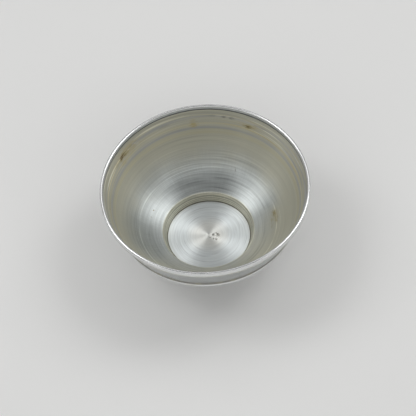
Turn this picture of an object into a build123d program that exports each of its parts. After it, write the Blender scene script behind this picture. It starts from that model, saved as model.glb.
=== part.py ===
from build123d import *
import os
from math import cos, hypot, radians, sin, tan

# Water-offering bowl: a spun sheet bowl with a wire rim, a girdle wire, and a foot that holds the floor.
# Driving dimensions in millimetres and degrees. Angles are slopes from the horizontal.

# Whole bowl
rim_diameter = 70.0  # across the outside of the rim wire
bowl_height = 31.1  # standing face to the top of the rim wire
solder_gap = 0.1  # between two soldered faces
solder_clearance = 0.03  # between the wall and the solder in that gap

# Spun wall
sheet = 0.5
wall_angle = 68.0  # straight upper wall
belly_angle = 20.0  # belly where it leaves the well
belly_run = 0.3  # least straight run at each end of the belly's arc
lip_bend = 1.0  # inside radius where the wall turns upright
lip_show = 0.1  # upright lip that shows below the rim wire
neck_angle = 71.0  # well wall
neck_drop = 1.5  # height of the neck below the mouth of the well
neck_bend = 0.5  # outside radius between the neck and the belly

# Well
well_diameter = 31.5  # at its mouth
well_depth = 3.55  # mouth to floor

# Rim wire
rim_width = 1.1
rim_depth = 1.9  # top to lower edge
rim_seat = 1.0  # how far the lip stands inside the wire
rim_edge = 0.15  # rounding of the lower edges

# Girdle wire
girdle_drop = 12.7  # rim wire to the middle of the girdle, along the wall
girdle_width = 3.0
girdle_relief = 0.85  # how far it stands out from the wall
girdle_fillet = 0.35  # solder showing beyond each edge
girdle_bed = 0.6  # crown of the solder under the wire

# Foot ring
foot_shoulder = 1.6  # outer face of the ring beyond the mouth of the well, at the belly
foot_wall = 1.35  # ring outside the floor's recess, at the standing face
foot_edge = 0.4  # rounding of the outer edge at the standing face
foot_fillet = 0.6  # solder up the belly and down the ring
ledge_width = 1.6  # under the floor disc
ledge_thickness = 0.9

# Floor disc
floor_thickness = 1.0
floor_clearance = 0.05  # between the disc and the ring, all round
floor_edge = 0.15  # chamfer round the top
floor_fillet = 0.5  # solder under the disc, against the ledge
mark_diameter = 1.2  # turning centre in the middle of the disc
mark_depth = 0.12

# Places that follow from the dimensions, as radius and height
rim_radius = rim_diameter / 2
rim_bottom = bowl_height - rim_depth
lip_top = rim_bottom + rim_seat
lip_rise = lip_bend * tan(radians(90 - wall_angle) / 2)
lip_knee = (rim_radius - (rim_width + sheet) / 2, rim_bottom - lip_show - lip_rise)
floor_top = ledge_thickness + floor_thickness
well_mouth = (well_diameter / 2, floor_top + well_depth)
well_foot_radius = well_mouth[0] - well_depth / tan(radians(neck_angle))
neck_end = well_mouth[1] - neck_drop
ledge_radius = well_foot_radius - ledge_width


def shifted(point, angle, offset):
    """The point moved out of the bowl, square to a line at that angle."""
    slope = radians(angle)
    return (point[0] + offset * sin(slope), point[1] - offset * cos(slope))


def meet(point, angle, other_point, other_angle):
    """Where two lines meet, each given by a point and its angle."""
    slope = radians(angle)
    other_slope = radians(other_angle)
    across = other_point[0] - point[0]
    up = other_point[1] - point[1]
    distance = (across * sin(other_slope) - up * cos(other_slope)) / sin(other_slope - slope)
    return (point[0] + distance * cos(slope), point[1] + distance * sin(slope))


# The belly's arc takes all the room between the well's mouth and the lip
knuckle = meet(well_mouth, belly_angle, lip_knee, wall_angle)
neck_reach = (neck_bend + sheet) * tan(radians(neck_angle - belly_angle) / 2)
lower_room = hypot(knuckle[0] - well_mouth[0], knuckle[1] - well_mouth[1]) - neck_reach
upper_room = hypot(lip_knee[0] - knuckle[0], lip_knee[1] - knuckle[1]) - lip_rise
belly_reach = min(lower_room, upper_room) - belly_run
belly_radius = belly_reach / tan(radians(wall_angle - belly_angle) / 2)


def wall_line(offset, top, bottom):
    """The wall's line in section, at an offset outside its inner face, from the lip to the neck's end."""
    lip = shifted(lip_knee, 90, offset)
    wall = shifted(lip_knee, wall_angle, offset)
    belly = shifted(well_mouth, belly_angle, offset)
    neck = shifted(well_mouth, neck_angle, offset)
    corners = [
        (lip[0], top),
        meet(wall, wall_angle, lip, 90),
        meet(belly, belly_angle, wall, wall_angle),
        meet(neck, neck_angle, belly, belly_angle),
        meet(neck, neck_angle, (0, bottom), 0),
    ]
    radii = [lip_bend + offset, belly_radius + offset, neck_bend + sheet - offset]
    return FilletPolyline(*corners, radius=radii)


def wall_band(inside, outside, top, bottom):
    """Section of the wall between two offsets."""
    inner = wall_line(inside, top, bottom)
    outer = wall_line(outside, top, bottom)
    upper_end = Line(inner @ 0, outer @ 0)
    lower_end = Line(inner @ 1, outer @ 1)
    return make_face([inner, outer, upper_end, lower_end])


def lip_band(margin):
    """Section of the wall with a margin on both its faces and over its lip."""
    return wall_band(-margin, sheet + margin, lip_top + margin, neck_end)


def bowl_space(margin):
    """All that lies inside the wall's outer face, with a margin on that face and under the neck."""
    bottom = neck_end - margin
    line = wall_line(sheet + margin, lip_top, bottom)
    core = Polyline(line @ 0, (0, lip_top), (0, bottom), line @ 1)
    return make_face([line, core])


def rim_sections():
    """Rim wire with the groove for the lip, and the solder that lines the groove."""
    inside = rim_radius - rim_width
    shoulder = bowl_height - rim_width / 2
    inner_side = Line((inside, shoulder), (inside, rim_bottom))
    under = Line(inner_side @ 1, (rim_radius, rim_bottom))
    outer_side = Line(under @ 1, (rim_radius, shoulder))
    crown = CenterArc((rim_radius - rim_width / 2, shoulder), rim_width / 2, 0, 180)
    whole = make_face([inner_side, under, outer_side, crown])
    lower_corners = whole.vertices().group_by(Axis.Y)[0]
    blank = fillet(lower_corners, rim_edge)
    groove = lip_band(solder_gap)
    return blank - groove, (blank & groove) - lip_band(solder_clearance)


def bead(seat, width, rise):
    """Round that stands out of its seat by a rise, over a width."""
    radius = (width**2 / 4 + rise**2) / (2 * rise)
    return seat * Pos(0, rise - radius) * Circle(radius)


def girdle_sections():
    """Half-round wire laid on the outside of the wall, and the solder under it."""
    line = wall_line(sheet, lip_top, neck_end)
    place = rim_seat + girdle_drop
    middle = line.position_at(place, PositionMode.LENGTH)
    slope = line.tangent_angle_at(place, PositionMode.LENGTH)
    seat = Pos(middle.X, middle.Y) * Rot(0, 0, slope)
    wire = bead(seat, girdle_width, girdle_relief) - bowl_space(solder_gap)
    bed = bead(seat, girdle_width + 2 * girdle_fillet, girdle_bed)
    return wire, bed - bowl_space(solder_clearance) - wire


def foot_sections():
    """Foot ring with its socket and ledge, and the solder in and round the socket."""
    top_radius = well_mouth[0] + foot_shoulder
    base = Vector(well_foot_radius + foot_wall, 0)
    line = wall_line(sheet, lip_top, neck_end)
    plumb = Line((top_radius, 0), (top_radius, bowl_height))
    joint = line.intersect(plumb)[0].center()
    in_wall = (joint.X, joint.Y + sheet)
    whole = make_face(
        Polyline(
            (ledge_radius, 0),
            base,
            joint,
            in_wall,
            well_mouth,
            (well_foot_radius, floor_top),
            (well_foot_radius, ledge_thickness),
            (ledge_radius, ledge_thickness),
            close=True,
        )
    )
    base_corner = whole.vertices().sort_by_distance(base)[0]
    blank = fillet(base_corner, foot_edge)
    ring = blank - bowl_space(solder_gap)

    down_ring = joint + (base - joint).normalized() * foot_fillet
    up_belly = joint - line.tangent_at(joint) * foot_fillet
    slant = (up_belly - down_ring).normalized() * solder_gap
    collar = make_face(Polyline(down_ring - slant, up_belly + slant, in_wall, close=True))
    return ring, (blank + collar) - ring - bowl_space(solder_clearance)


def floor_sections():
    """Floor disc with its turning centre, and the solder under it, each as half a section."""
    floor_radius = well_foot_radius - floor_clearance
    disc = make_face(
        Polyline(
            (0, ledge_thickness),
            (floor_radius, ledge_thickness),
            (floor_radius, floor_top - floor_edge),
            (floor_radius - floor_edge, floor_top),
            (mark_diameter / 2, floor_top),
            (0, floor_top - mark_depth),
            close=True,
        )
    )
    seam = make_face(
        Polyline(
            (ledge_radius, ledge_thickness),
            (ledge_radius, ledge_thickness - floor_fillet),
            (ledge_radius - floor_fillet, ledge_thickness),
            close=True,
        )
    )
    return disc, seam


# Every piece is a section turned about the bowl's axis
sections = {"bowl_body": wall_band(0, sheet, lip_top, neck_end)}
sections["rim_wire"], sections["rim_solder"] = rim_sections()
sections["girdle_wire"], sections["girdle_solder"] = girdle_sections()
sections["foot_ring"], sections["foot_solder"] = foot_sections()
sections["floor_disc"], sections["floor_solder"] = floor_sections()

os.makedirs("parts", exist_ok=True)
for name, section in sections.items():
    solid = revolve(Plane.XZ * section, Axis.Z)
    export_step(solid, f"parts/{name}.step")
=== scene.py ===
from math import atan2, cos, degrees, pi, radians, sin, tan
from typing import Callable, NamedTuple

import bpy
import numpy as np
from mathutils import Matrix, Vector, noise


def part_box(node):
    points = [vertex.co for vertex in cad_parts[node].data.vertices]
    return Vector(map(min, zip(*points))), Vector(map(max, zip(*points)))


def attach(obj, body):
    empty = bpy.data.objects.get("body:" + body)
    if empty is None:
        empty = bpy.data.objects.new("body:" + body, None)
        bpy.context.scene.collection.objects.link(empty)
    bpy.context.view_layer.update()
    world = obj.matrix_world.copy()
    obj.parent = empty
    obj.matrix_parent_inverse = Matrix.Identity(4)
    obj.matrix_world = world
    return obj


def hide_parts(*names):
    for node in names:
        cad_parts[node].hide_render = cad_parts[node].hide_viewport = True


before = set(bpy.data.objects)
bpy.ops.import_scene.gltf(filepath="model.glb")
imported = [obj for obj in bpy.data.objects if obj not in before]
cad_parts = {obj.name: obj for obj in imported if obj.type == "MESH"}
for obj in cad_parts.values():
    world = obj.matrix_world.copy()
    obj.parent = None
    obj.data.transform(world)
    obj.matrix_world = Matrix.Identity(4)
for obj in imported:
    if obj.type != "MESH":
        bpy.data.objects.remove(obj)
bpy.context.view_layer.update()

# Water-offering bowl: a spun, silver-plated wall with a wire rim and a girdle, on a foot with a turned floor.
# Lengths are in metres and angles are slopes from the horizontal. A section is a line of (radius, height).

MM = 0.001
RIGHT = Vector((1, 0, 0))


def span(node):
    """Outer radius, lowest height and highest height of a CAD node."""
    low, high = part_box(node)
    return high.x, low.z, high.z


# Places that the frame gives
rim_radius, rim_bottom, rim_top = span("rim_wire")
neck_end, lip_top = span("bowl_body")[1:]
floor_radius, ledge_top, floor_top = span("floor_disc")
ledge_radius, seam_bottom = span("floor_solder")[:2]

# Sizes of the construction
sheet = 0.5 * MM
solder_gap = 0.1 * MM  # between two soldered faces
solder_clearance = 0.03 * MM  # between the wall and the solder in that gap
wall_angle = 68.0
belly_angle = 20.0
neck_angle = 71.0
belly_run = 0.3 * MM  # least straight run at each end of the belly's arc
lip_bend = 1.0 * MM
lip_show = 0.1 * MM  # upright lip that shows below the rim wire
neck_bend = 0.5 * MM
well_depth = 3.55 * MM
well_radius = 15.75 * MM
rim_width = 1.1 * MM
rim_edge = 0.15 * MM
girdle_place = 13.7 * MM  # lip's top to the middle of the girdle, along the wall
girdle_width = 3.0 * MM
girdle_relief = 0.85 * MM
girdle_fillet = 0.35 * MM  # solder showing beyond each edge
girdle_bed = 0.6 * MM  # crown of the solder under the wire
foot_shoulder = 1.6 * MM  # outer face of the foot beyond the mouth of the well, at the belly
foot_wall = 1.35 * MM
foot_edge = 0.4 * MM
foot_fillet = 0.6 * MM
floor_edge = 0.15 * MM
mark_radius = 0.6 * MM  # turning centre in the middle of the floor
mark_depth = 0.12 * MM

# Relief that the tools and the solder left
spinning_ridge = 0.010 * MM
outer_ridge = 0.006 * MM
turning_ridge = 0.002 * MM
rim_swell = 0.001 * MM
seam_swell = 0.07 * MM
ridges_full = 8 * MM  # height up to which the spinning ridges are at full depth
ridges_end = 18 * MM  # height at which they would run out
LEAST_RIDGE = 0.25  # share of their depth that stays higher up
PIT_RAGGED = 0.9
PIT_GRAIN = 5  # to the millimetre

# Fineness of the meshes
SEGMENTS = 288  # round the bowl
SHARP_EDGE = 35.0  # degrees
ON_AXIS = 1e-9
LINE_STEP = 0.1 * MM  # arcs of the wall's line
PLACE_STEP = 0.02 * MM  # lines on which a place is looked up
SEAM_STEP = 0.05 * MM  # faces along the solder
INNER_STEP = 0.16 * MM
OUTER_STEP = 0.3 * MM
RIM_EDGE_STEP = 0.03 * MM
FOOT_EDGE_STEP = 0.04 * MM
FOOT_STEP = 0.15 * MM
FLOOR_STEP = 0.09 * MM
UNDER_STEP = 0.4 * MM
LEAST_ARC = 4  # steps in an arc
RIM_ARC = 16  # steps in a quarter of the rim wire's crown
BEAD_ARC = 48
FILLET_ARC = 10


# Lines in section


def along(angle):
    """Unit step along a line at that slope."""
    return Vector((cos(radians(angle)), sin(radians(angle))))


def outward(angle):
    """Unit step out of the bowl, square to a line at that slope."""
    return Vector((sin(radians(angle)), -cos(radians(angle))))


def cross(first, second):
    """Above 0 if the second step points to the left of the first."""
    return first.x * second.y - first.y * second.x


def meet(point, step, other_point, other_step):
    """Where two lines meet, each given by a point and a step along it."""
    return point + step * (cross(other_point - point, other_step) / cross(step, other_step))


def rounded(corners, radii, step):
    """A line through the corners, with each inner corner turned into an arc of points about a step apart."""
    line = [corners[0]]
    for before, corner, after, radius in zip(corners, corners[1:], corners[2:], radii):
        back = (before - corner).normalized()
        ahead = (after - corner).normalized()
        turn = pi - back.angle(ahead)
        centre = corner + (back + ahead).normalized() * radius / cos(turn / 2)
        start = corner + back * radius * tan(turn / 2) - centre
        end = corner + ahead * radius * tan(turn / 2) - centre
        count = max(LEAST_ARC, round(radius * turn / step))
        for i in range(count + 1):
            share = i / count
            swing = start * sin((1 - share) * turn) + end * sin(share * turn)
            line.append(centre + swing / sin(turn))
    line.append(corners[-1])
    return line


def evenly(line, step):
    """The same line as points an even step apart, with both ends kept."""
    radii = [point.x for point in line]
    heights = [point.y for point in line]
    travelled = np.concatenate([[0], np.cumsum(np.hypot(np.diff(radii), np.diff(heights)))])
    places = np.linspace(0, travelled[-1], max(1, round(travelled[-1] / step)) + 1)
    pairs = zip(np.interp(places, travelled, radii), np.interp(places, travelled, heights))
    return [Vector(pair) for pair in pairs]


def arc(centre, radius, start, end, count):
    """Points on a circle between two angles in degrees."""
    return [centre + along(start + (end - start) * i / count) * radius for i in range(count + 1)]


def hollow_curve(start, corner, end, count):
    """A curve that leaves start and reaches end along the two sides of a corner."""
    points = []
    for i in range(count + 1):
        share = i / count
        points.append(start * (1 - share) ** 2 + corner * 2 * share * (1 - share) + end * share**2)
    return points


def within(points, centre, radius):
    """The points that lie inside a round."""
    return [point for point in points if (point - centre).length < radius]


def beyond(points, centre, radius):
    """The points that lie outside a round."""
    return [point for point in points if (point - centre).length > radius]


# Places that follow from the sizes
lip_rise = lip_bend * tan(radians(90 - wall_angle) / 2)
lip_knee = Vector((rim_radius - (rim_width + sheet) / 2, rim_bottom - lip_show - lip_rise))
well_mouth = Vector((well_radius, floor_top + well_depth))
well_foot = well_mouth - along(neck_angle) * well_depth / sin(radians(neck_angle))
knuckle = meet(well_mouth, along(belly_angle), lip_knee, along(wall_angle))
neck_reach = (neck_bend + sheet) * tan(radians(neck_angle - belly_angle) / 2)
belly_room = min((knuckle - well_mouth).length - neck_reach, (lip_knee - knuckle).length - lip_rise)
belly_radius = (belly_room - belly_run) / tan(radians(wall_angle - belly_angle) / 2)


def wall_line(offset, top, bottom):
    """The wall's line in section, at an offset outside its inner face, from the lip to the neck's end."""
    lip = lip_knee + outward(90) * offset
    wall = lip_knee + outward(wall_angle) * offset
    belly = well_mouth + outward(belly_angle) * offset
    neck = well_mouth + outward(neck_angle) * offset
    corners = [
        Vector((lip.x, top)),
        meet(wall, along(wall_angle), lip, along(90)),
        meet(belly, along(belly_angle), wall, along(wall_angle)),
        meet(neck, along(neck_angle), belly, along(belly_angle)),
        meet(neck, along(neck_angle), Vector((0, bottom)), along(0)),
    ]
    radii = [lip_bend + offset, belly_radius + offset, neck_bend + sheet - offset]
    return rounded(corners, radii, LINE_STEP)


def well_wall(height):
    """The point of the well's wall at a height."""
    return well_foot + along(neck_angle) * (height - well_foot.y) / sin(radians(neck_angle))


# Meshes


def section_normals(section, closed):
    """Unit steps out of the metal at each point of a section."""
    normals = []
    last = len(section) - 1
    for i, point in enumerate(section):
        before = section[i - 1] if closed or i > 0 else point
        after = section[(i + 1) % len(section)] if closed or i < last else point
        step = (after - before).normalized()
        normals.append(Vector((step.y, -step.x)))
    return normals


def on_axis(point):
    """True for a point of a section that lies on the bowl's axis."""
    return point.x < ON_AXIS


class Run(NamedTuple):
    """A stretch of a section: its points, the material of its faces, and its relief if it has one.

    The relief says how far a point stands out of the metal, from its place in section and its angle.
    """
    points: list
    material: bpy.types.Material
    relief: Callable = None


def lathe_rings(section, run_of, closed):
    """Vertices of a section turned about the axis, and the ring of vertices that each of its points makes."""
    rings = []
    vertices = []
    for point, normal, run in zip(section, section_normals(section, closed), run_of):
        if on_axis(point):
            rings.append([len(vertices)] * SEGMENTS)
            vertices.append((0, 0, point.y))
            continue
        rings.append(range(len(vertices), len(vertices) + SEGMENTS))
        for i in range(SEGMENTS):
            angle = 2 * pi * i / SEGMENTS
            moved = point + normal * run.relief(point, angle) if run.relief else point
            vertices.append((moved.x * cos(angle), moved.x * sin(angle), moved.y))
    return vertices, rings


def lathe_faces(rings, closed):
    """Faces between each ring and the next. Those at the axis have three corners."""
    following = rings[1:] + rings[:1] if closed else rings[1:]
    faces = []
    for here, there in zip(rings, following):
        for i in range(SEGMENTS):
            j = (i + 1) % SEGMENTS
            faces.append(list(dict.fromkeys([here[i], here[j], there[j], there[i]])))
    return faces


def lathe(name, runs):
    """A section turned about the axis, made of runs.

    The section has the metal on its left. It is closed, or runs from the axis to the axis.
    """
    section = [point for run in runs for point in run.points]
    run_of = [run for run in runs for point in run.points]
    closed = not on_axis(section[0])
    vertices, rings = lathe_rings(section, run_of, closed)
    faces = lathe_faces(rings, closed)
    materials = list(dict.fromkeys(run.material for run in runs))
    finishes = [materials.index(run_of[i // SEGMENTS].material) for i in range(len(faces))]
    mesh = bpy.data.meshes.new(name)
    mesh.from_pydata(vertices, [], faces)
    for material in materials:
        mesh.materials.append(material)
    mesh.polygons.foreach_set("material_index", finishes)
    mesh.polygons.foreach_set("use_smooth", [True] * len(faces))
    mesh.set_sharp_from_angle(angle=radians(SHARP_EDGE))
    mesh.update()
    piece = bpy.data.objects.new(name, mesh)
    bpy.context.scene.collection.objects.link(piece)
    return piece


def fit(piece, node):
    """The piece stands for its CAD node and rides with the bowl."""
    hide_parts(node)
    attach(piece, "root")


def ripple(distance, pitch, angle, drift, seed):
    """Smooth unevenness from about -1 to 1 along a distance, which drifts slowly round the bowl."""
    return noise.noise(Vector((distance / pitch + seed, drift * cos(angle), drift * sin(angle))))


# Materials


def colour(red, green, blue):
    """Colour with its share of light in red, green and blue."""
    return (red, green, blue, 1.0)


SILVER = colour(0.474, 0.503, 0.498)
TONED = colour(0.551, 0.544, 0.456)
WELL_TONED = colour(0.615, 0.603, 0.513)
YELLOW = colour(0.556, 0.526, 0.368)
OCHRE = colour(0.513, 0.436, 0.222)
OLIVE = colour(0.325, 0.274, 0.128)
BROWN = colour(0.171, 0.115, 0.047)
TARNISH = colour(0.359, 0.376, 0.436)
OUTER_SILVER = colour(0.538, 0.551, 0.547)
FLOOR_SILVER = colour(0.739, 0.782, 0.791)
FLOOR_WARM = colour(0.769, 0.778, 0.748)
WIRE_SILVER = colour(0.80, 0.81, 0.81)
BRASS = colour(0.496, 0.359, 0.179)
SOLDER_GREY = colour(0.393, 0.389, 0.368)
# Grime colour: real dirt in pits, lines and a scratch, and also painted shade under the rim and round the
# floor
GRIME_AND_SHADE = colour(0.137, 0.128, 0.103)
GRIME_GREY = colour(0.256, 0.256, 0.231)
BURR_GLINT = colour(0.99, 0.985, 0.95)
CREASE_GRIME_AND_SHADE = colour(0.07, 0.08, 0.10)
PALE = colour(0.86, 0.86, 0.85)

SLANT = 0.78  # distance along the wall for each unit of radius and height together
RAGGED_EDGE = 1.5  # how far a stain's edge wanders, in half widths
ACROSS_LINES = 0.25  # quarter turn, from along the turning lines to square across them


class Skin:
    """A material's nodes, with short calls for what the finishes share. Its textures work in millimetres."""

    def __init__(self, name):
        self.material = bpy.data.materials.new(name)
        self.material.use_nodes = True
        self.tree = self.material.node_tree
        self.shader = self.tree.nodes["Principled BSDF"]
        place = self.node("ShaderNodeTexCoord").outputs["Object"]
        self.place = self.scaled(place, 1 / MM)
        across = self.vector("MULTIPLY", self.place, (1, 1, 0))
        self.radius = self.vector("LENGTH", across)
        self.facing = self.vector("NORMALIZE", across)
        split = self.node("ShaderNodeSeparateXYZ")
        self.wire(self.place, split.inputs[0])
        self.height = split.outputs["Z"]
        self.travel = self.math("MULTIPLY", self.math("ADD", self.radius, self.height), SLANT)

    def node(self, kind, **settings):
        """A new node of that kind, with its settings."""
        made = self.tree.nodes.new(kind)
        for key, value in settings.items():
            setattr(made, key, value)
        return made

    def wire(self, value, socket):
        """Links a value to a socket, or sets it there if it is a constant."""
        if isinstance(value, bpy.types.NodeSocket):
            self.tree.links.new(value, socket)
        else:
            socket.default_value = value

    def feed(self, made, values):
        """Wires values to a node's inputs, by the inputs' names or numbers."""
        for key, value in values.items():
            self.wire(value, made.inputs[key])

    def math(self, operation, *values):
        """The result of one step of arithmetic."""
        made = self.node("ShaderNodeMath", operation=operation)
        self.feed(made, dict(enumerate(values)))
        return made.outputs[0]

    def product(self, *values):
        """All the values multiplied together."""
        total = values[0]
        for value in values[1:]:
            total = self.math("MULTIPLY", total, value)
        return total

    def vector(self, operation, *values):
        """The result of one step of vector arithmetic."""
        made = self.node("ShaderNodeVectorMath", operation=operation)
        self.feed(made, dict(enumerate(values)))
        return made.outputs["Value" if operation in ("LENGTH", "DOT_PRODUCT") else "Vector"]

    def scaled(self, vector, factor):
        """A vector or a colour multiplied by a factor."""
        made = self.node("ShaderNodeVectorMath", operation="SCALE")
        self.feed(made, {"Vector": vector, "Scale": factor})
        return made.outputs["Vector"]

    def ease(self, value, start, end, low=0.0, high=1.0):
        """A smooth step from low to high as the value goes from start to end."""
        made = self.node("ShaderNodeMapRange", interpolation_type="SMOOTHSTEP")
        steps = {"Value": value, "From Min": start, "From Max": end, "To Min": low, "To Max": high}
        self.feed(made, steps)
        return made.outputs["Result"]

    def fade(self, value, start, end, high=1.0):
        """A smooth step from high down to 0 as the value goes from start to end."""
        return self.ease(value, start, end, high, 0.0)

    def spread(self, value, low, high):
        """A value from 0 to 1 stretched over another range."""
        return self.math("MULTIPLY_ADD", value, high - low, low)

    def band(self, value, middle, width, soft):
        """1 within half a width of the middle, fading to 0."""
        away = self.math("ABSOLUTE", self.math("SUBTRACT", value, middle))
        return self.fade(away, width / 2, width / 2 + soft)

    def towards(self, direction):
        """1 where the bowl's side lies in that direction from the axis, -1 where it lies opposite."""
        return self.vector("DOT_PRODUCT", self.facing, direction)

    def sideways(self):
        """1 at the bowl's left and right, 0 at its front and back."""
        return self.math("ABSOLUTE", self.towards(RIGHT))

    def pattern(self, vector, detail, seed):
        """Soft noise from 0 to 1."""
        made = self.node("ShaderNodeTexNoise", noise_dimensions="4D")
        self.feed(made, {"Vector": vector, "W": seed, "Scale": 1.0, "Detail": detail})
        return made.outputs["Fac"]

    def cloud(self, pitch, detail, seed):
        """Even blotches of about that size."""
        return self.pattern(self.scaled(self.place, 1 / pitch), detail, seed)

    def turning(self, pitch, drift, detail, seed):
        """Lines round the bowl, of about that pitch. A larger drift breaks them into shorter arcs."""
        lines = self.node("ShaderNodeCombineXYZ")
        self.wire(self.math("MULTIPLY", self.travel, 1 / pitch), lines.inputs["Z"])
        around = self.scaled(self.facing, drift)
        return self.pattern(self.vector("ADD", around, lines.outputs[0]), detail, seed)

    def stain(self, centre, direction, length, width, ragged):
        """A ragged stain drawn out in a direction: 0 in its middle, 1 near its edge, and more outside."""
        offset = self.vector("SUBTRACT", self.place, centre)
        lengthwise = self.vector("DOT_PRODUCT", offset, direction)
        slack = self.scaled(direction, self.math("MULTIPLY", lengthwise, 1 / width - 1 / length))
        drawn = self.vector("SUBTRACT", self.scaled(offset, 1 / width), slack)
        return self.math("ADD", self.vector("LENGTH", drawn), self.spread(ragged, -RAGGED_EDGE, RAGGED_EDGE))

    def stains(self, marks, ragged):
        """How much a list of stains covers, from 0 to 1. Each has a middle, half sizes and a strength."""
        cover = 0.0
        for centre, length, width, strength in marks:
            round_bowl = Vector((-centre[1], centre[0], 0)).normalized()
            away = self.stain(centre, round_bowl, length, width, ragged)
            cover = self.math("MAXIMUM", cover, self.fade(away, 0.2, 1.4, strength))
        return cover

    def blend(self, share, first, second):
        """One number or the other, by a share from 0 to 1."""
        made = self.node("ShaderNodeMix", data_type="FLOAT")
        self.feed(made, {0: share, 2: first, 3: second})
        return made.outputs[0]

    def tint(self, base, share, other):
        """A colour turned towards another by a share from 0 to 1."""
        made = self.node("ShaderNodeMix", data_type="RGBA")
        self.feed(made, {0: share, 6: base, 7: other})
        return made.outputs[2]

    def shade(self, base, value, low, high):
        """A colour made darker or lighter by a value from 0 to 1."""
        return self.scaled(base, self.spread(value, low, high))

    def lined(self, base, lines, *strengths):
        """A colour made darker and lighter by lines, about its own level. The strengths are multiplied."""
        swing = self.product(self.math("SUBTRACT", lines, 0.5), *strengths)
        return self.scaled(base, self.math("ADD", swing, 1.0))

    def bump(self, height, depth):
        """Fine relief of the surface, down to a depth."""
        made = self.node("ShaderNodeBump")
        self.feed(made, {"Height": height, "Distance": depth})
        self.wire(made.outputs["Normal"], self.shader.inputs["Normal"])

    def brushed(self, amount):
        """Turned metal: the gloss spreads across the turning lines."""
        tangent = self.node("ShaderNodeTangent", direction_type="RADIAL", axis="Z")
        self.wire(tangent.outputs[0], self.shader.inputs["Tangent"])
        self.shader.inputs["Anisotropic"].default_value = amount
        self.shader.inputs["Anisotropic Rotation"].default_value = ACROSS_LINES

    def metal(self, base, roughness, bare=1.0):
        """Metal of that colour. It is bare where bare is 1, and under a dull film where it is less."""
        self.feed(self.shader, {"Metallic": bare, "Base Color": base, "Roughness": roughness})
        return self.material


# Heights on the bowl, in millimetres
FLOOR_LINE = floor_top / MM
MOUTH_LINE = well_mouth.y / MM
WELL_LINES = (4.1, 3.3, 2.7)
FOOT_JOINT = 5.6
FOOT_WORN = 0.5
GIRDLE_LINE = 17.4
FILM_FOOT = 8.0
FILM_FULL = 18.0
TIDE_LINE = 22.5
LIGHT_RINGS = (24.6, 26.0)  # the light rings grow stronger between these
LIP_LINE = 29.0
RIM_FOOT = rim_bottom / MM

# Radii on the bowl, in millimetres
FLOOR_LINED = (3.0, 9.0)  # the floor's turning lines grow stronger between these
FLOOR_TONED = (13.2, 14.3)
FLOOR_GRIME_AND_SHADE = (14.25, 14.4)
RIM_MIDDLE = (rim_radius - rim_width / 2) / MM

# Yellow film: the side on which it reaches further down, how much further, and how far its edge wanders
FILM_SIDE = along(-70).to_3d()
FILM_REACH = 8.0
FILM_RAGGED = 4.0

# Lines that water left: height, width and soft edge in millimetres, then their least and most strength
YELLOW_LINES = [
    (24.0, 0.2, 0.4, 0.2, 1.0),
    (21.8, 0.12, 0.3, 0.2, 1.0),
    (20.8, 0.3, 0.8, 0.2, 1.0),
]
GREY_LINES = [
    (TIDE_LINE, 0.3, 0.6, 0.15, 0.7),
    (26.6, 0.15, 0.4, 0.0, 0.6),
]

# Lines that the spinning tool left: height, width and soft edge in millimetres, then brightness
SPUN_LINES = [
    (11.0, 0.10, 0.20, 1.2),
    (9.9, 0.12, 0.18, 1.35),
    (7.7, 0.15, 0.25, 0.76),
    (7.1, 0.10, 0.20, 0.8),
]

# Stains on the inner face: middle, half length round the bowl and half width in millimetres, and strength
OCHRE_STAINS = [
    ((-25.9, 20.5, 26.3), 6.0, 1.8, 0.55),
    ((-26.8, 18.0, 24.0), 1.8, 1.1, 0.4),
    ((17.6, 27.6, 25.1), 3.4, 1.0, 0.45),
    ((-2.1, 32.0, 23.7), 1.7, 1.1, 0.8),
    ((-2.3, 32.4, 25.2), 1.0, 1.0, 0.4),
    ((23.3, 0.4, 9.7), 3.2, 1.7, 0.35),
]
OLIVE_STAINS = [
    ((-26.7, 19.5, 26.1), 2.2, 0.8, 0.7),
    ((-24.0, 23.0, 26.5), 2.4, 0.6, 0.3),
    ((-28.9, 15.8, 25.7), 2.0, 0.6, 0.3),
    ((16.8, 28.0, 25.1), 1.5, 0.7, 0.75),
    ((23.1, 1.4, 9.5), 1.3, 0.9, 0.65),
    ((23.6, -1.0, 9.8), 1.9, 0.6, 0.4),
    ((21.9, -1.2, 8.6), 2.4, 0.4, 0.3),
    ((21.7, -3.4, 8.6), 1.0, 0.35, 0.3),
]
BROWN_STAINS = [
    ((-27.3, 18.7, 26.0), 1.3, 0.75, 0.95),
    ((16.7, 28.1, 25.1), 0.7, 0.42, 0.55),
    ((-18.5, 8.5, 7.6), 0.26, 0.26, 0.8),
    ((-19.5, 5.7, 7.5), 0.16, 0.16, 0.5),
    ((-32.3, -1.5, 24.3), 0.24, 0.24, 0.5),
]
GREY_DASHES = [
    ((4.4, 33.0, 26.7), 2.2, 0.35, 0.3),
    ((8.5, 32.1, 26.4), 1.0, 0.4, 0.8),
    ((11.0, 31.3, 26.4), 1.1, 0.4, 0.7),
    ((21.5, 25.4, 26.5), 3.2, 0.35, 0.25),
    ((-12.3, 30.6, 25.8), 2.6, 0.45, 0.25),
]

# Scratch low on the wall: middle in millimetres, direction, and half sizes
SCRATCH = (11.25, 21.05, 10.1)
SCRATCH_WAY = Vector((-0.05, 0.82, 0.57))
SCRATCH_LENGTH = 1.3
SCRATCH_WIDTH = 0.16

# Scar beside the floor's centre: place, size and depth of each pit in millimetres. A depth below 0 is a burr.
FLOOR_PITS = [
    (1.50, 0.05, 0.58, 0.11),
    (2.55, 0.63, 0.36, 0.09),
    (3.10, -0.20, 0.78, 0.09),
    (1.43, -1.72, 0.46, 0.07),
    (2.34, -2.11, 0.46, 0.06),
    (0.45, -1.12, 0.36, 0.04),
    (2.95, 0.20, 0.30, 0.07),
    (0.80, 0.35, 0.42, -0.07),
    (2.30, 0.02, 0.40, -0.09),
    (2.00, -0.95, 0.56, -0.08),
    (3.28, -1.60, 0.50, -0.09),
    (1.15, -0.70, 0.30, -0.05),
]


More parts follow.
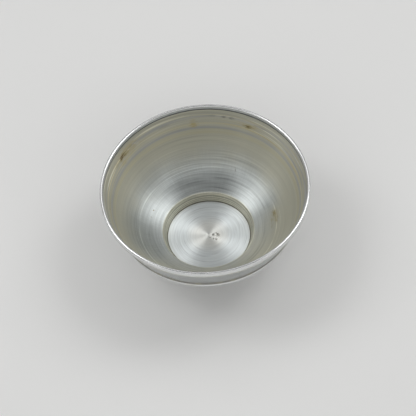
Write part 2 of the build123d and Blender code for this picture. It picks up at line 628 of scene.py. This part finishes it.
def toned_well(skin, base):
    """The well's wall, toned, and a little lighter at the bowl's sides."""
    well = skin.fade(skin.height, MOUTH_LINE - 0.25, MOUTH_LINE + 0.25)
    base = skin.tint(base, well, WELL_TONED)
    return skin.shade(base, skin.product(well, skin.ease(skin.sideways(), 0.3, 0.95)), 1.0, 1.15)


def water_lines(skin, base, blotch):
    """Yellow and bluish-grey lines that water left round the upper wall, stronger in some places."""
    patches = skin.cloud(pitch=6.0, detail=2.0, seed=5.0)
    for lines, strength, tone in ((YELLOW_LINES, blotch, YELLOW), (GREY_LINES, patches, TARNISH)):
        for height, width, soft, least, most in lines:
            line = skin.band(skin.height, height, width, soft)
            base = skin.tint(base, skin.product(line, skin.spread(strength, least, most)), tone)
    return base


def dried_rings(skin, base):
    """Fine yellow, grey and light rings above the tide line, strongest at the bowl's right."""
    rings = skin.turning(pitch=0.62, drift=1.3, detail=2.0, seed=21.0)
    light = skin.ease(skin.turning(pitch=0.5, drift=1.3, detail=1.0, seed=22.0), 0.54, 0.66)
    sides = skin.ease(skin.sideways(), 0.2, 0.8, low=0.45)
    rightward = skin.ease(skin.towards(RIGHT), 0.0, 1.0, low=1.0, high=1.7)
    amount = skin.product(skin.ease(skin.height, TIDE_LINE, TIDE_LINE + 1.2), sides, rightward)
    base = skin.tint(base, skin.product(amount, skin.ease(rings, 0.54, 0.66, high=0.42)), OCHRE)
    base = skin.tint(base, skin.product(amount, skin.fade(rings, 0.36, 0.45, high=0.45)), TARNISH)
    near_rim = skin.ease(skin.height, *LIGHT_RINGS, low=0.3)
    return skin.shade(base, skin.product(amount, light, near_rim), 1.0, 1.55)


def spun_lines(skin, base):
    """Light and dark lines that the spinning tool left low on the wall, broken here and there."""
    broken = skin.ease(skin.turning(pitch=4.0, drift=2.2, detail=2.0, seed=15.0), 0.35, 0.65)
    for height, width, soft, gain in SPUN_LINES:
        base = skin.shade(base, skin.product(skin.band(skin.height, height, width, soft), broken), 1.0, gain)
    return base


def stained(skin, base):
    """Ochre, olive and brown stains, grey dashes and a scratch."""
    ragged = skin.turning(pitch=0.45, drift=18.0, detail=3.0, seed=12.0)
    base = skin.tint(base, skin.stains(OCHRE_STAINS, ragged), OCHRE)
    base = skin.tint(base, skin.stains(OLIVE_STAINS, ragged), OLIVE)
    base = skin.tint(base, skin.stains(BROWN_STAINS, ragged), BROWN)
    base = skin.tint(base, skin.stains(GREY_DASHES, ragged), GRIME_GREY)
    scratch = skin.stain(SCRATCH, SCRATCH_WAY, SCRATCH_LENGTH, SCRATCH_WIDTH, ragged)
    return skin.tint(base, skin.fade(scratch, 0.3, 1.3, high=0.6), GRIME_AND_SHADE)


def grimy_and_shaded(skin, base, fine):
    """Dark lines round the well, and grime with painted shade under the rim wire and in the corner round the
    floor.
    """
    for line in WELL_LINES:
        share = skin.product(skin.band(skin.height, line, width=0.08, soft=0.16), skin.spread(fine, 0.1, 0.9))
        base = skin.tint(base, share, GRIME_AND_SHADE)
    # Painted shade with some grime: darker just under the rim wire
    base = skin.tint(base, skin.ease(skin.height, LIP_LINE - 0.15, LIP_LINE, high=0.7), GRIME_AND_SHADE)
    # Painted shade with some grime: darker at the foot of the well's wall, in the corner by the floor
    return skin.tint(base, skin.fade(skin.height, FLOOR_LINE + 0.1, FLOOR_LINE + 0.45, high=0.7), GRIME_AND_SHADE)


def turned_lines(skin, base, fine, film):
    """Turning lines, fainter under the film and at the sides, brushing across them, and a painted highlight
    along the well's mouth.
    """
    broad = skin.turning(pitch=1.1, drift=0.8, detail=2.0, seed=7.0)
    scored = skin.ease(skin.turning(pitch=0.7, drift=1.0, detail=1.0, seed=11.0), 0.58, 0.68)
    crossed = skin.turning(pitch=5.0, drift=55.0, detail=3.0, seed=17.0)
    crisp = skin.ease(skin.sideways(), 0.2, 0.8, low=1.2, high=0.75)
    base = skin.lined(base, fine, skin.blend(film, 0.95, 0.3), crisp)
    base = skin.shade(base, skin.product(scored, skin.blend(film, 1.0, 0.2), crisp), 1.0, 0.83)
    # Painted highlight: a lighter band along the bend at the well's mouth
    base = skin.shade(base, skin.band(skin.height, MOUTH_LINE, width=0.1, soft=0.15), 1.0, 1.25)
    base = skin.lined(base, crossed, skin.blend(film, 0.25, 0.04))
    return skin.lined(base, broad, skin.blend(film, 0.4, 0.3), crisp)


def inside_finish():
    """Plated inner face: matte under a yellow film above, brighter and lined below, with marks of use."""
    skin = Skin("plated_inside")
    fine = skin.turning(pitch=0.42, drift=1.1, detail=3.0, seed=1.0)
    blotch = skin.cloud(pitch=9.0, detail=3.0, seed=2.0)
    lower = skin.ease(skin.towards(FILM_SIDE), -0.5, 1.0, high=FILM_REACH)
    reach = skin.math("ADD", skin.spread(blotch, -FILM_RAGGED, FILM_RAGGED), lower)
    film = skin.ease(skin.math("ADD", skin.height, reach), FILM_FOOT, FILM_FULL)
    base = skin.tint(SILVER, film, TONED)
    base = toned_well(skin, base)
    base = water_lines(skin, base, blotch)
    base = dried_rings(skin, base)
    base = spun_lines(skin, base)
    base = stained(skin, base)
    base = grimy_and_shaded(skin, base, fine)
    base = turned_lines(skin, base, fine, film)
    rough = skin.blend(film, skin.spread(fine, 0.33, 0.47), skin.spread(blotch, 0.52, 0.62))
    skin.bump(fine, depth=0.006 * MM)
    skin.brushed(0.84)
    return skin.metal(base, rough, skin.blend(film, 1.0, 0.72))


def outside_finish():
    """Plated outer face: spun metal with turning lines, toned in the corners, brass at the foot's edge."""
    skin = Skin("plated_outside")
    fine = skin.turning(pitch=0.32, drift=1.1, detail=3.0, seed=3.0)
    broad = skin.turning(pitch=1.5, drift=0.8, detail=2.0, seed=9.0)
    toning = skin.turning(pitch=3.5, drift=1.4, detail=3.0, seed=5.0)
    wear = skin.turning(pitch=0.6, drift=2.5, detail=3.0, seed=8.0)
    blotch = skin.cloud(pitch=5.0, detail=4.0, seed=5.0)
    base = skin.tint(OUTER_SILVER, skin.ease(toning, 0.45, 0.75, high=0.4), TONED)
    beside_girdle = skin.band(skin.height, GIRDLE_LINE, width=3.4, soft=0.9)
    above_foot = skin.band(skin.height, FOOT_JOINT, width=0.8, soft=0.9)
    corner = skin.math("MAXIMUM", beside_girdle, above_foot)
    base = skin.tint(base, skin.product(corner, skin.spread(blotch, 0.1, 0.6)), YELLOW)
    worn = skin.product(skin.fade(skin.height, 0.0, FOOT_WORN), skin.ease(wear, 0.45, 0.7), 0.6)
    base = skin.tint(base, worn, BRASS)
    base = skin.lined(base, fine, 0.55)
    base = skin.lined(base, broad, 0.4)
    rough = skin.math("ADD", skin.spread(fine, 0.20, 0.36), skin.spread(blotch, -0.03, 0.06))
    skin.bump(fine, depth=0.004 * MM)
    skin.brushed(0.8)
    return skin.metal(base, rough)


def scarred(skin, base):
    """The scar's dark pits and its burrs with painted glints, and how much of the floor the burrs cover."""
    ragged = skin.cloud(pitch=0.3, detail=2.0, seed=8.0)
    glinting_burrs = 0.0
    for x, y, size, depth in FLOOR_PITS:
        away = skin.stain((x, y, FLOOR_LINE), RIGHT, size, size, ragged)
        cover = skin.fade(away, 0.3, 1.0)
        if depth > 0:
            base = skin.tint(base, skin.product(cover, 0.72), GRIME_AND_SHADE)
        else:
            # Painted glint: the burrs are near white
            base = skin.tint(base, cover, BURR_GLINT)
            glinting_burrs = skin.math("MAXIMUM", glinting_burrs, cover)
    return base, glinting_burrs


def floor_finish():
    """Turned floor: whiter than the wall, with crisp turning lines that throw fans of light."""
    skin = Skin("plated_floor")
    fine = skin.turning(pitch=0.36, drift=1.2, detail=3.0, seed=4.0)
    broad = skin.turning(pitch=1.4, drift=0.9, detail=2.0, seed=6.0)
    scored = skin.ease(skin.turning(pitch=0.55, drift=1.0, detail=1.0, seed=13.0), 0.60, 0.70)
    blotch = skin.cloud(pitch=5.0, detail=3.0, seed=3.0)
    outer = skin.ease(skin.radius, *FLOOR_LINED)
    base = skin.tint(FLOOR_WARM, skin.math("ADD", outer, skin.spread(blotch, -0.3, 0.3)), FLOOR_SILVER)
    toned = skin.product(skin.ease(skin.radius, *FLOOR_TONED), skin.spread(blotch, 0.0, 0.4))
    base = skin.tint(base, toned, TONED)
    # Painted shade with some grime in the gap round the floor's edge
    base = skin.tint(base, skin.ease(skin.radius, *FLOOR_GRIME_AND_SHADE, high=0.9), GRIME_AND_SHADE)
    base, glinting_burrs = scarred(skin, base)
    base = skin.lined(base, fine, skin.spread(outer, 0.25, 0.6))
    base = skin.shade(base, skin.product(scored, outer), 1.0, 0.84)
    base = skin.shade(base, broad, 0.94, 1.06)
    rough = skin.math("ADD", skin.spread(fine, 0.40, 0.52), skin.spread(blotch, -0.03, 0.05))
    skin.bump(fine, depth=0.006 * MM)
    skin.brushed(0.87)
    # On the burrs the metal turns half matte and near white, a painted glint that shows under any light
    return skin.metal(base, skin.blend(glinting_burrs, rough, 0.3), skin.blend(glinting_burrs, 1.0, 0.35))


def underside_finish():
    """Underside of the floor: dull and toned, with coarse turning lines."""
    skin = Skin("plated_underside")
    lines = skin.turning(pitch=0.5, drift=1.0, detail=3.0, seed=2.0)
    blotch = skin.cloud(pitch=4.0, detail=4.0, seed=9.0)
    base = skin.tint(TONED, skin.ease(blotch, 0.4, 0.75, high=0.7), YELLOW)
    base = skin.shade(base, lines, 0.82, 1.12)
    rough = skin.math("ADD", skin.spread(lines, 0.32, 0.46), skin.spread(blotch, -0.05, 0.08))
    skin.bump(lines, depth=0.008 * MM)
    skin.brushed(0.5)
    return skin.metal(base, rough)


def rim_finish():
    """Rim wire: polished on its crown, duller and bluish inside, with painted shade and some grime in the
    crease, toned below.
    """
    skin = Skin("plated_rim")
    blotch = skin.cloud(pitch=3.0, detail=3.0, seed=1.0)
    scuffs = skin.turning(pitch=0.12, drift=4.0, detail=2.0, seed=5.0)
    outer = skin.ease(skin.radius, RIM_MIDDLE, RIM_MIDDLE + 0.3)
    inner = skin.fade(skin.radius, RIM_MIDDLE - 0.5, RIM_MIDDLE - 0.3)
    low_edge = skin.fade(skin.height, RIM_FOOT + 0.15, RIM_FOOT + 0.7)
    toned = skin.product(outer, low_edge, skin.ease(blotch, 0.3, 0.6, low=0.4, high=0.9))
    base = skin.tint(WIRE_SILVER, toned, TONED)
    below_crown = skin.fade(skin.height, RIM_FOOT + 1.1, RIM_FOOT + 1.5)
    base = skin.tint(base, skin.product(inner, below_crown, skin.spread(blotch, 0.0, 0.25)), TARNISH)
    # Painted shade, with some grime, in the crease where the wire sits on the lip
    crease = skin.product(inner, skin.fade(skin.height, RIM_FOOT + 0.5, RIM_FOOT + 0.7))
    base = skin.tint(base, skin.product(crease, skin.spread(blotch, 0.8, 1.0)), CREASE_GRIME_AND_SHADE)
    base = skin.shade(base, scuffs, 0.95, 1.05)
    rough = skin.math("ADD", skin.spread(scuffs, 0.16, 0.22), skin.spread(blotch, -0.02, 0.03))
    skin.brushed(0.3)
    return skin.metal(base, skin.blend(inner, rough, 0.4), skin.blend(inner, 1.0, 0.72))


def girdle_finish():
    """Girdle wire: polished on its crown, toned along its edges."""
    skin = Skin("plated_girdle")
    blotch = skin.cloud(pitch=4.0, detail=3.0, seed=6.0)
    scuffs = skin.turning(pitch=0.2, drift=4.0, detail=2.0, seed=8.0)
    away = skin.math("ABSOLUTE", skin.math("SUBTRACT", skin.height, GIRDLE_LINE))
    base = skin.tint(WIRE_SILVER, skin.ease(away, 0.7, 1.4), TONED)
    base = skin.tint(base, skin.product(skin.ease(blotch, 0.5, 0.7), 0.3), YELLOW)
    base = skin.shade(base, scuffs, 0.93, 1.07)
    rough = skin.math("ADD", skin.spread(scuffs, 0.12, 0.24), skin.spread(blotch, -0.03, 0.06))
    skin.brushed(0.4)
    return skin.metal(base, rough)


def solder_finish():
    """Dull solder, with a grainy skin and darker pits."""
    skin = Skin("solder")
    grain = skin.cloud(pitch=0.35, detail=4.0, seed=1.0)
    blotch = skin.cloud(pitch=2.5, detail=3.0, seed=4.0)
    base = skin.tint(SOLDER_GREY, skin.ease(blotch, 0.45, 0.75, high=0.6), YELLOW)
    base = skin.shade(base, grain, 0.6, 1.2)
    rough = skin.spread(grain, 0.42, 0.68)
    skin.bump(grain, depth=0.02 * MM)
    return skin.metal(base, rough)


def ground_finish():
    """Plain pale floor."""
    material = bpy.data.materials.new("pale_floor")
    material.use_nodes = True
    shader = material.node_tree.nodes["Principled BSDF"]
    shader.inputs["Base Color"].default_value = PALE
    shader.inputs["Roughness"].default_value = 0.9
    shader.inputs["Specular IOR Level"].default_value = 0.1
    return material


inside = inside_finish()
outside = outside_finish()
turned = floor_finish()
underside = underside_finish()
polished = rim_finish()
girdle = girdle_finish()
solder = solder_finish()

# Pieces


def ridges(point, angle):
    """Uneven ridges that the spinning left on the wall, from about -2 to 2."""
    distance = (point.x + point.y) * SLANT
    narrow = ripple(distance, pitch=0.9 * MM, angle=angle, drift=0.6, seed=3.0)
    wide = ripple(distance, pitch=2.2 * MM, angle=angle, drift=0.4, seed=9.0)
    return narrow + wide


def inner_relief(point, angle):
    """Spinning ridges on the inner face, strongest low on the wall."""
    share = (ridges_end - point.y) / (ridges_end - ridges_full)
    return ridges(point, angle) * spinning_ridge * min(1, max(LEAST_RIDGE, share))


def outer_relief(point, angle):
    """Shallower spinning ridges on the outer face."""
    return ridges(point, angle) * outer_ridge


def make_wall():
    """Spun wall, from the lip to the neck."""
    inner = evenly(wall_line(0, lip_top, neck_end), INNER_STEP)
    outer = evenly(wall_line(sheet, lip_top, neck_end), OUTER_STEP)
    runs = [Run(inner, inside, inner_relief), Run(outer[::-1], outside, outer_relief)]
    fit(lathe("spun_wall", runs), "bowl_body")


def groove(margin):
    """The lip's sides and top with a margin round them, inside the rim wire, from the inner side."""
    low = lip_knee.x - margin
    high = lip_knee.x + sheet + margin
    top = lip_top + margin
    return [
        Vector((low, rim_bottom)),
        Vector((low, top)),
        Vector((high, top)),
        Vector((high, rim_bottom)),
    ]


def rim_relief(point, angle):
    """The wire is a little uneven on its outside."""
    return rim_swell * (ripple(point.y, pitch=1.0 * MM, angle=angle, drift=2.0, seed=2.0) - 1)


def make_rim():
    """Round-topped rim wire, with a groove below for the lip."""
    half = rim_width / 2
    middle = Vector((rim_radius - half, rim_top - half))
    inside_radius = rim_radius - rim_width
    groove_line = groove(solder_gap)
    inner_corner = [
        Vector((inside_radius, middle.y)),
        Vector((inside_radius, rim_bottom)),
        groove_line[0],
    ]
    outer_corner = [
        groove_line[-1],
        Vector((rim_radius, rim_bottom)),
        Vector((rim_radius, middle.y)),
    ]
    inner_side = arc(middle, half, 90, 180, RIM_ARC)[:-1]
    inner_side += rounded(inner_corner, [rim_edge], RIM_EDGE_STEP)[:-1]
    outer_side = rounded(outer_corner, [rim_edge], RIM_EDGE_STEP)[1:]
    outer_side += arc(middle, half, 0, 90, RIM_ARC)[1:-1]
    runs = [
        Run(inner_side, polished, rim_relief),
        Run(groove_line, polished),
        Run(outer_side, polished, rim_relief),
    ]
    fit(lathe("rim_ring", runs), "rim_wire")


def make_rim_solder():
    """Solder that lines the rim wire's groove."""
    outer = groove(solder_gap)
    inner = groove(solder_clearance)
    fit(lathe("rim_seam", [Run(inner + outer[::-1], solder)]), "rim_solder")


def seam_relief(point, angle):
    """Solder lies thick and thin where it shows."""
    return seam_swell * (1 + ripple(point.y, pitch=1.5 * MM, angle=angle, drift=7.0, seed=4.0)) / 2


def station(line, distance):
    """The point at a distance along a line, and the unit step along it there."""
    points = evenly(line, PLACE_STEP)
    i = round(distance / PLACE_STEP)
    return points[i], (points[i + 1] - points[i - 1]).normalized()


def bead(width, rise):
    """Centre and radius of a round that stands out of the girdle's seat by a rise, over a width."""
    seat, step = station(wall_line(sheet, lip_top, neck_end), girdle_place)
    radius = (width**2 / 4 + rise**2) / (2 * rise)
    return seat + Vector((-step.y, step.x)) * (rise - radius), radius


def bead_lines(centre, radius, offset):
    """Where a round meets the wall at an offset, from the top down, and its crown from the bottom up."""
    wall = evenly(wall_line(sheet + offset, lip_top, neck_end), SEAM_STEP)
    base = within(wall, centre, radius)
    lowest = base[-1] - centre
    highest = base[0] - centre
    start = degrees(atan2(lowest.y, lowest.x))
    end = degrees(atan2(highest.y, highest.x))
    return base, arc(centre, radius, start, end, BEAD_ARC)[1:-1]


def make_girdle():
    """Half-round girdle wire on the outside of the wall."""
    centre, radius = bead(girdle_width, girdle_relief)
    base, crown = bead_lines(centre, radius, solder_gap)
    fit(lathe("girdle_ring", [Run(base + crown, girdle)]), "girdle_wire")


def make_girdle_solder():
    """Solder under the girdle wire, which shows along both its edges."""
    centre, radius = bead(girdle_width, girdle_relief)
    base, crown = bead_lines(centre, radius, solder_gap)
    bed_centre, bed_radius = bead(girdle_width + 2 * girdle_fillet, girdle_bed)
    bed_base, bed_crown = bead_lines(bed_centre, bed_radius, solder_clearance)
    half = len(crown) // 2
    lower_bed = beyond(bed_crown[:half], centre, radius)
    upper_bed = beyond(bed_crown[half:], centre, radius)
    lower_flank = within(crown[:half], bed_centre, bed_radius)
    upper_flank = within(crown[half:], bed_centre, bed_radius)
    hidden = lower_flank[::-1] + base[::-1] + upper_flank[::-1]
    runs = [
        Run(bed_base, solder),
        Run(lower_bed, solder, seam_relief),
        Run(hidden, solder),
        Run(upper_bed, solder, seam_relief),
    ]
    fit(lathe("girdle_seam", runs), "girdle_solder")


def foot_lines():
    """Foot ring's outer face as base and joint with the belly, and its socket from the outer face inwards."""
    base = Vector((well_foot.x + foot_wall, 0))
    wall = evenly(wall_line(sheet, lip_top, neck_end), PLACE_STEP)
    joint = min(wall, key=lambda point: abs(point.x - well_radius - foot_shoulder))
    face = joint - base
    socket = evenly(wall_line(sheet + solder_gap, lip_top, neck_end - solder_gap), SEAM_STEP)
    socket = [point for point in socket if cross(face, point - base) > 0 and point.x < joint.x]
    return base, joint, socket


def make_foot():
    """Foot ring, with the socket for the neck and the ledge for the floor."""
    base, joint, socket = foot_lines()
    foot = rounded([Vector((ledge_radius, 0)), base, socket[0]], [foot_edge], FOOT_EDGE_STEP)
    well = [well_wall(neck_end - solder_gap), well_foot, Vector((well_foot.x, ledge_top))]
    ledge = [Vector((ledge_radius, ledge_top))]
    runs = [
        Run(evenly(foot, FOOT_STEP)[:-1], outside),
        Run(socket, solder),
        Run(evenly(well, FOOT_STEP), inside),
        Run(ledge, underside),
    ]
    fit(lathe("foot", runs), "foot_ring")


def make_foot_solder():
    """Solder in the foot's socket, which shows as a hollow fillet under the belly."""
    base, joint, socket = foot_lines()
    down_ring = joint + (base - joint).normalized() * foot_fillet
    wall = evenly(wall_line(sheet + solder_clearance, lip_top, neck_end - solder_clearance), SEAM_STEP)
    up_belly = min(wall, key=lambda point: abs((point - joint).length - foot_fillet) + (point.x < joint.x))
    lining = wall[wall.index(up_belly):]
    fillet = hollow_curve(down_ring, joint, up_belly, FILLET_ARC)[1:-1]
    bottom = [well_wall(neck_end - solder_clearance), well_wall(neck_end - solder_gap)]
    hidden = lining + bottom + socket[::-1] + [down_ring]
    runs = [Run(hidden, solder), Run(fillet, solder, seam_relief)]
    fit(lathe("foot_seam", runs), "foot_solder")


def floor_relief(point, angle):
    """Turning ridges on the top of the floor, and the pits of the scar."""
    height = turning_ridge * ripple(point.x, pitch=0.3 * MM, angle=angle, drift=0.3, seed=5.0)
    x = point.x * cos(angle) / MM
    y = point.x * sin(angle) / MM
    ragged = PIT_RAGGED * noise.noise(Vector((x, y, 0)) * PIT_GRAIN)
    for pit_x, pit_y, size, depth in FLOOR_PITS:
        share = ((x - pit_x) ** 2 + (y - pit_y) ** 2) / size**2 + ragged
        if share < 1:
            height -= depth * MM * (1 - max(0, share)) ** 2
    return height


def make_floor():
    """Floor disc, turned on its top, with its turning centre."""
    under = [
        Vector((0, ledge_top)),
        Vector((floor_radius, ledge_top)),
        Vector((floor_radius, floor_top - floor_edge)),
    ]
    top = [
        Vector((floor_radius - floor_edge, floor_top)),
        Vector((mark_radius, floor_top)),
        Vector((0, floor_top - mark_depth)),
    ]
    runs = [Run(evenly(under, UNDER_STEP), underside), Run(evenly(top, FLOOR_STEP), turned, floor_relief)]
    fit(lathe("floor_plate", runs), "floor_disc")


def make_floor_solder():
    """Solder under the floor, as a hollow fillet against the ledge."""
    corner = Vector((ledge_radius, ledge_top))
    fillet = ledge_top - seam_bottom
    inward = corner - Vector((fillet, 0))
    below = corner - Vector((0, fillet))
    face = hollow_curve(inward, corner, below, FILLET_ARC)
    runs = [Run([corner], solder), Run(face, solder, seam_relief)]
    fit(lathe("floor_seam", runs), "floor_solder")


make_wall()
make_rim()
make_rim_solder()
make_girdle()
make_girdle_solder()
make_foot()
make_foot_solder()
make_floor()
make_floor_solder()

# Camera, at the photograph's angle
CAMERA_PLACE = Vector((0.0, -266.25, 390.40)) * MM
CAMERA_AIM = Vector((0.44, -8.82, 30.3)) * MM
CAMERA_ROLL = radians(-4.856)
CAMERA_LENS = 116.83
CAMERA_SENSOR = 36
CAMERA_NEAR = 0.01

# Studio: metres, degrees and levels of light
GROUND_REACH = 3.0
HORIZON_LIGHT = 0.29
HORIZON_EDGE = 25.0
CEILING_LIGHT = 0.10
CEILING_EDGE = 55.0
LAMP_DISTANCE = 0.9

# Soft lamps: azimuth, elevation, width, height and brightness
LAMPS = {
    "lamp_left": (166, 51, 0.36, 0.48, 3.05),
    "lamp_right": (22, 51, 0.36, 0.48, 3.05),
    "lamp_front_left": (205, 48, 0.3, 0.3, 0.9),
    "lamp_front_right": (338, 46, 0.3, 0.3, 1.0),
    "lamp_front": (270, 40, 2.1, 0.45, 1.0),
    "lamp_back": (90, 60, 1.1, 0.5, 0.97),
}


def make_camera():
    """Camera that sees the bowl as the photograph does."""
    camera = bpy.data.cameras.new("camera")
    camera.lens = CAMERA_LENS
    camera.sensor_width = CAMERA_SENSOR
    camera.clip_start = CAMERA_NEAR
    holder = bpy.data.objects.new("camera", camera)
    level = (CAMERA_AIM - CAMERA_PLACE).to_track_quat("-Z", "Y").to_matrix()
    rolled = level @ Matrix.Rotation(CAMERA_ROLL, 3, "Z")
    holder.matrix_world = Matrix.Translation(CAMERA_PLACE) @ rolled.to_4x4()
    bpy.context.scene.collection.objects.link(holder)
    bpy.context.scene.camera = holder


def make_ground():
    """Plain floor that the bowl stands on."""
    corners = [
        (-GROUND_REACH, -GROUND_REACH, 0),
        (GROUND_REACH, -GROUND_REACH, 0),
        (GROUND_REACH, GROUND_REACH, 0),
        (-GROUND_REACH, GROUND_REACH, 0),
    ]
    mesh = bpy.data.meshes.new("ground")
    mesh.from_pydata(corners, [], [(0, 1, 2, 3)])
    mesh.materials.append(ground_finish())
    ground = bpy.data.objects.new("ground", mesh)
    bpy.context.scene.collection.objects.link(ground)


def make_world():
    """Even light from all round, darker overhead."""
    world = bpy.data.worlds.new("studio")
    world.use_nodes = True
    tree = world.node_tree
    background = tree.nodes["Background"]
    direction = tree.nodes.new("ShaderNodeTexCoord").outputs["Generated"]
    split = tree.nodes.new("ShaderNodeSeparateXYZ")
    tree.links.new(direction, split.inputs[0])
    ramp = tree.nodes.new("ShaderNodeMapRange")
    ramp.interpolation_type = "SMOOTHSTEP"
    tree.links.new(split.outputs["Z"], ramp.inputs["Value"])
    ramp.inputs["From Min"].default_value = sin(radians(HORIZON_EDGE))
    ramp.inputs["From Max"].default_value = sin(radians(CEILING_EDGE))
    ramp.inputs["To Min"].default_value = HORIZON_LIGHT
    ramp.inputs["To Max"].default_value = CEILING_LIGHT
    tree.links.new(ramp.outputs["Result"], background.inputs["Color"])
    bpy.context.scene.world = world


def make_lamp(name, azimuth, elevation, width, height, brightness):
    """A soft lamp that faces the bowl. Its brightness is what a mirror would show."""
    lamp = bpy.data.lights.new(name, "AREA")
    lamp.shape = "RECTANGLE"
    lamp.size = width
    lamp.size_y = height
    lamp.energy = brightness * pi * width * height
    holder = bpy.data.objects.new(name, lamp)
    side = along(azimuth) * cos(radians(elevation))
    place = Vector((side.x, side.y, sin(radians(elevation)))) * LAMP_DISTANCE
    turn = (-place).to_track_quat("-Z", "Y").to_matrix().to_4x4()
    holder.matrix_world = Matrix.Translation(place) @ turn
    bpy.context.scene.collection.objects.link(holder)


make_camera()
make_ground()
make_world()
for name, settings in LAMPS.items():
    make_lamp(name, *settings)
bpy.context.scene.view_settings.view_transform = "Standard"
